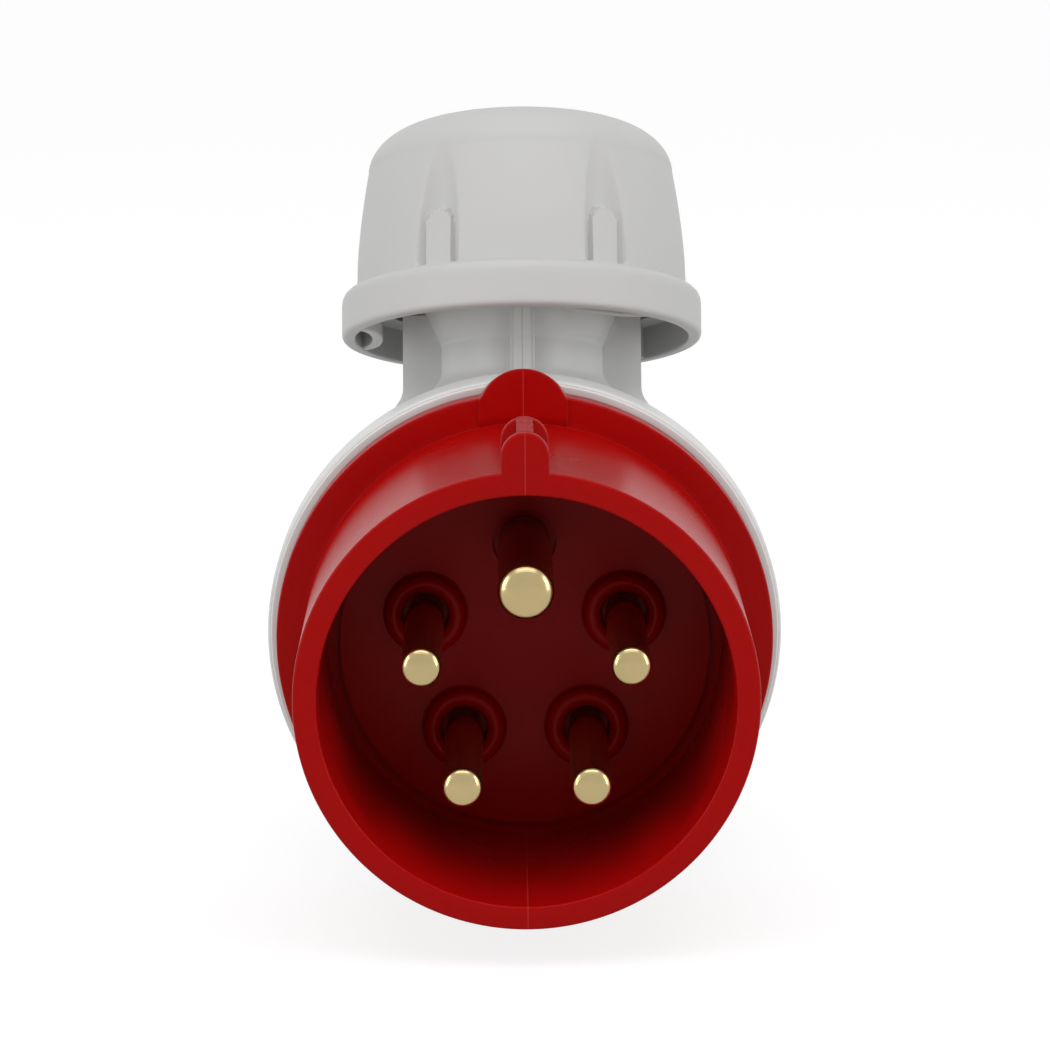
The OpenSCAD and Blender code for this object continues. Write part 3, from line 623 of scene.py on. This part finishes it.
def drumReach(y, v=drum):
    # outer radius of the drum at a depth: straight, then a quarter ellipse
    t = np.clip((y - v["straight"]) / v["dome"], 0, 1)
    return v["radius"] * np.sqrt(np.maximum(1 - t * t, 0))


def quarter(radius, start, depth):
    # a quarter ellipse from its full radius back to the axis, as corners without a cut
    t = np.linspace(0, np.pi / 2, 40)
    return np.stack([radius * np.cos(t), start + depth * np.sin(t), 0 * t], 1)


def makeDrum(v):
    # the rim, the lip and the two quarter ellipses of the dome as one turned section, less the tunnels
    inside, rim, back = v["radius"] - v["wall"], v["rimFront"], v["rimFront"] + v["rimLength"]
    hollow = quarter(inside, v["straight"], v["dome"] - v["wall"])[::-1]
    lipFront, lipBack = v["lip"] - v["lipHalf"], v["lip"] + v["lipHalf"]
    corners = np.vstack([hollow, [(inside, v["hollowFront"], 0), (v["bore"], v["boreEnd"], 0), (v["bore"], lipBack, 0),
        (v["lipBore"], lipBack, 0), (v["lipBore"], lipFront, 0), (v["bore"], lipFront, 0),
        (v["bore"], v["mouthEnd"], 0), (v["mouth"], v["mouthEnd"], 0), (v["mouth"], rim, v["mouthEdge"]),
        *[(v["rimRadius"] - a, rim + b, c) for a, b, c in v["rimStep"]], (v["rimRadius"], back, v["backEdge"]),
        (v["radius"], back + 0.2, v["rootEdge"])], quarter(v["radius"], v["straight"], v["dome"])])
    shell = turned("housingDrum", softProfile(corners, 6), "housing", segs=288, closed=False,
        nodes=("housing_left", "housing_right"))
    radius, start, end = v["screwHole"]
    for k, place in enumerate(screws.values()):
        ring = ringOf(radius, 48, place)
        cut(shell, np.stack([np.stack([0 * ring[:, 0] + x, ring[:, 0], ring[:, 1]], 1) for x in (start, end)]), k)
    radius, start, end = v["cableHole"]
    bore = ringOf(radius, 64)
    ends = [onOutlet(np.stack([bore[:, 0], bore[:, 1], 0 * bore[:, 0] + h], 1)) for h in (start, end)]
    cut(shell, np.stack(ends), len(screws))


def cut(piece, rings, k):
    # takes a straight tunnel with the two given end rings out of a piece
    n = rings.shape[1]
    faces = gridFaces(2, n).tolist() + [list(range(n))[::-1], list(range(n, 2 * n))]
    mesh = bpy.data.meshes.new("tunnel")
    mesh.from_pydata((rings.reshape(-1, 3) * mm).tolist(), [], faces)
    bm = bmesh.new()
    bm.from_mesh(mesh)
    bmesh.ops.recalc_face_normals(bm, faces=bm.faces)
    bm.to_mesh(mesh)
    bm.free()
    tool = bpy.data.objects.new("tunnel", mesh)
    bpy.context.scene.collection.objects.link(tool)
    mod = piece.modifiers.new("tunnel", "BOOLEAN")
    mod.object, mod.operation, mod.solver = tool, "DIFFERENCE", "EXACT"
    result = bpy.data.meshes.new_from_object(piece.evaluated_get(bpy.context.evaluated_depsgraph_get()))
    piece.modifiers.remove(mod)
    bpy.data.objects.remove(tool)
    result.name = piece.name + "Cut%d" % k
    piece.data = result
    result.set_sharp_from_angle(angle=np.radians(crease))


def outletReach(angle, h, v):
    # outer radius round the cable: flat flanks and round back, a smaller round front, then the flare and the collar
    c, s = np.cos(angle), np.sin(angle)
    body = np.minimum(v["back"], v["width"] / 2 / np.maximum(np.abs(c), tiny))
    body = blendMin(body, np.where(s < -tiny, v["front"] / np.minimum(s, -tiny), farOff), v["frontBlend"])
    share = np.clip((h - v["flare"]) / (v["collarFoot"] - v["flare"]), 0, 1)
    flare = v["throat"] + (v["flareRadius"] - v["throat"]) * share
    flare = flare + v["bead"] * np.exp(-((h - v["flare"] - v["beadRise"]) / v["beadWidth"]) ** 2)
    body = np.where(h > v["flank"], 0, body)
    reach = blendMax(np.broadcast_to(flare, np.broadcast_shapes(c.shape, h.shape)), body, v["flareBlend"])
    x = np.abs(reach * c)
    rib = v["rib"] * ease((v["ribHalf"] + v["edgeStart"] - x) / v["edgeWidth"])
    step = v["step"] * ease((v["stepHalf"] + v["edgeStart"] - x) / v["edgeWidth"])
    return reach + np.where(s < 0, np.maximum(rib, step), 0)


def makeOutlet(v):
    # rows up the outlet, widened by a parabola where they come near the drum, then the collar and the seal's bore
    wide, frontCount = np.radians(v["frontColumns"][0]), v["frontColumns"][1]
    front = np.linspace(-np.pi / 2 - wide, -np.pi / 2 + wide, frontCount, endpoint=False)
    around = np.linspace(-np.pi / 2 + wide, 3 * np.pi / 2 - wide, v["backColumns"], endpoint=False)
    angle = np.concatenate([front, around])[None]
    low = np.concatenate([np.linspace(v["bottom"], v["joinTop"], v["lowRows"]),
        np.linspace(v["joinTop"], v["collarFoot"], v["flareRows"])])[1:, None]
    reach = outletReach(angle, low, v)
    place = onOutlet(np.stack(np.broadcast_arrays(reach * np.cos(angle), reach * np.sin(angle), low), -1))
    proud = np.hypot(place[..., 0], place[..., 2]) - drumReach(place[..., 1])
    swell = np.clip(v["fillet"] - np.maximum(proud, 0), 0, v["fillet"]) ** 2 / (2 * v["fillet"])
    reach = reach + np.where(low < v["joinTop"], swell, 0)
    sealBore, throat = v["sealBore"], v["throat"] - v["wall"]
    upper = softProfile([(v["flareRadius"], v["collarFoot"], 0), (v["collar"], v["collarFoot"], v["edge"]),
        (v["collar"], v["top"], v["edge"]), (sealBore, v["top"], 0.4), (sealBore, v["seat"], 0),
        (sealBore - v["sealStep"], v["seat"], 0), (sealBore - v["sealStep"], v["sealFoot"], 0.5),
        (throat, v["flare"], 0.5), (throat, v["bottom"], 0)], 6)
    rows = np.vstack([np.stack([reach, np.broadcast_to(low, reach.shape)], -1),
        np.broadcast_to(upper[:, None, :], (len(upper), reach.shape[1], 2))])
    points = onOutlet(np.stack([rows[..., 0] * np.cos(angle), rows[..., 0] * np.sin(angle), rows[..., 1]], -1))
    newPiece("housingOutlet", points, gridFaces(*points.shape[:2], closeRows=True), "housing", sharp=softCrease)


makeDrum(drum)
makeOutlet(outlet)
print("housing made")

cap = {"foot": 37.7, "grip": 22.8, "gripFoot": 8.9, "height": 29.7, "ringLip": 2.0, "ringHeight": 6.5,
       "ringShoulder": 1.85, "ringEdge": 0.8, "footEdge": 0.35, "taper": 1.7, "taperPower": 1.5, "crownDrop": 6.5,
       "crownRun": 9.1, "bore": 19.5, "step": 21.3, "cone": 3.5, "skirt": 23.0, "skirtDepth": 4.6, "cable": 9.5,
       "columns": 600, "rowStep": 0.42}
flute = {"count": 6, "depth": 1.75, "radius": 4.3, "foot": 6.55, "top": 26, "blend": 0.22, "clear": 40.0,
         "footLift": 4, "footStart": 0.12, "footRun": 0.16, "padWidth": 4.4, "padTop": 14.5, "padEdge": 0.3,
         "padDrop": 0.3, "padFrom": 5.5, "padRun": 10}
tongue = {"places": (60, 180, 300), "wall": 1.5, "reach": 3.5, "span": 7.2, "power": 0.7, "root": 0.4, "foot": 0.2,
          "edge": 0.3, "steps": 61}


def capReach(r, w, angle, v, f):
    # the grip's radius, less a round hollow at even angles, with a round-topped pad standing in each hollow's foot
    a = np.mod(angle, fullTurn / f["count"]) - np.pi / f["count"]
    centre = v["grip"] - f["depth"] + f["radius"]
    side = centre * np.sin(a)
    round1 = centre * np.cos(a) - np.sqrt(np.maximum(f["radius"] ** 2 - side ** 2, 0))
    hollow = np.where(np.abs(side) < f["radius"], round1, f["clear"])
    hollow = hollow + f["footLift"] * ease((f["foot"] + f["footStart"] - w) / f["footRun"])
    x, half = hollow * np.sin(a), f["padWidth"] / 2
    edge = np.hypot(x, np.maximum(w - f["padTop"] + half, 0)) - half
    pad = v["grip"] - f["padDrop"] - f["padDrop"] * np.clip((w - f["padFrom"]) / f["padRun"], 0, 1)
    hollow = hollow + (np.maximum(hollow, pad) - hollow) * ease(-edge / f["padEdge"])
    fluted = blendMin(np.broadcast_to(r, hollow.shape), hollow, f["blend"])
    return np.where((w > v["ringHeight"]) & (w < f["top"]), fluted, r)


def makeCap(v, f):
    # ring, grip that narrows by taper * t^taperPower, quarter-ellipse crown, and the plain inside, all turned
    ring, crown = v["grip"] + v["ringLip"], v["height"] - v["crownDrop"]
    t, u = np.linspace(0, 1, 14), np.linspace(0, np.pi / 2, 18)
    rise = v["gripFoot"] + (crown - v["gripFoot"]) * t
    grip = np.stack([v["grip"] - v["taper"] * t ** v["taperPower"], rise, 0 * t], 1)
    edge = v["grip"] - v["taper"] - v["crownRun"]
    dome = np.stack([edge + v["crownRun"] * np.cos(u), crown + v["crownDrop"] * np.sin(u), 0 * u], 1)[1:]
    foot = [(v["skirt"], v["skirtDepth"], 0), (v["skirt"], 0, v["footEdge"]), (ring, 0, v["ringEdge"]),
        (ring, v["ringHeight"], v["ringShoulder"]), (v["grip"] + 0.08, v["ringHeight"], 0.04)]
    outer = softProfile(np.vstack([foot, grip, dome, [(v["cable"] + 0.5, v["height"], 0.5)]]), 6)
    inner = softProfile([(v["cable"], v["height"] - 0.6, 0.4), (v["cable"], v["height"] - 3, 0.1),
        (v["cable"] + 1.8, v["height"] - 3.4, 0), (v["bore"] - v["cone"], v["step"], 0), (v["bore"], v["step"], 0),
        (v["bore"], v["skirtDepth"], 0.2)], 4)
    rows = np.vstack([divide(outer, v["rowStep"]), inner])
    angle = np.linspace(0, fullTurn, v["columns"], endpoint=False)[None]
    w = rows[:, 1:]
    onOuter = np.arange(len(rows))[:, None] < len(rows) - len(inner)
    r = np.where(onOuter, capReach(rows[:, :1], w, angle, v, f), rows[:, :1])
    points = onOutlet(np.stack(np.broadcast_arrays(r * np.sin(angle), -r * np.cos(angle), w + v["foot"]), -1))
    faces = gridFaces(*points.shape[:2], closeRows=True)
    newPiece("glandCap", points, faces, "cap", body="cap", nodes=("gland_cap",), sharp=softCrease)


def makeTongues(v, w):
    # each tongue is a flat strip bent into a loop: inwards by reach * cos^power, sideways by span * sin of a half turn
    t = np.linspace(-np.pi / 2, np.pi / 2, w["steps"])
    inward = v["skirt"] + w["root"] - w["reach"] * np.cos(t) ** w["power"]
    line = np.stack([inward, w["span"] * np.sin(t)], 1)
    run = np.gradient(line, axis=0)
    normal = np.stack([-run[:, 1], run[:, 0]], 1) / np.linalg.norm(run, axis=1, keepdims=True)
    half, low, high = w["wall"] / 2, w["foot"], v["skirtDepth"] + w["foot"]
    section = softProfile([(-half, low, w["edge"]), (half, low, w["edge"]), (half, high, 0), (-half, high, 0)])
    plan = line[:, None] + normal[:, None] * section[None, :, :1]
    x, y = plan[..., 0], plan[..., 1]
    z = np.broadcast_to(section[:, 1] + v["foot"], x.shape)
    rows, cols = x.shape
    ends = [list(range(cols)), list(range((rows - 1) * cols, rows * cols))[::-1]]
    for k, turn in enumerate(np.radians(w["places"])):
        c, s = np.cos(turn), np.sin(turn)
        points = onOutlet(np.stack([x * c - y * s, x * s + y * c, z], -1))
        newPiece("skirtTongue%d" % (k + 1), points, gridFaces(rows, cols).tolist() + ends, "cap", body="cap")


makeCap(cap, flute)
makeTongues(cap, tongue)
print("gland cap made")
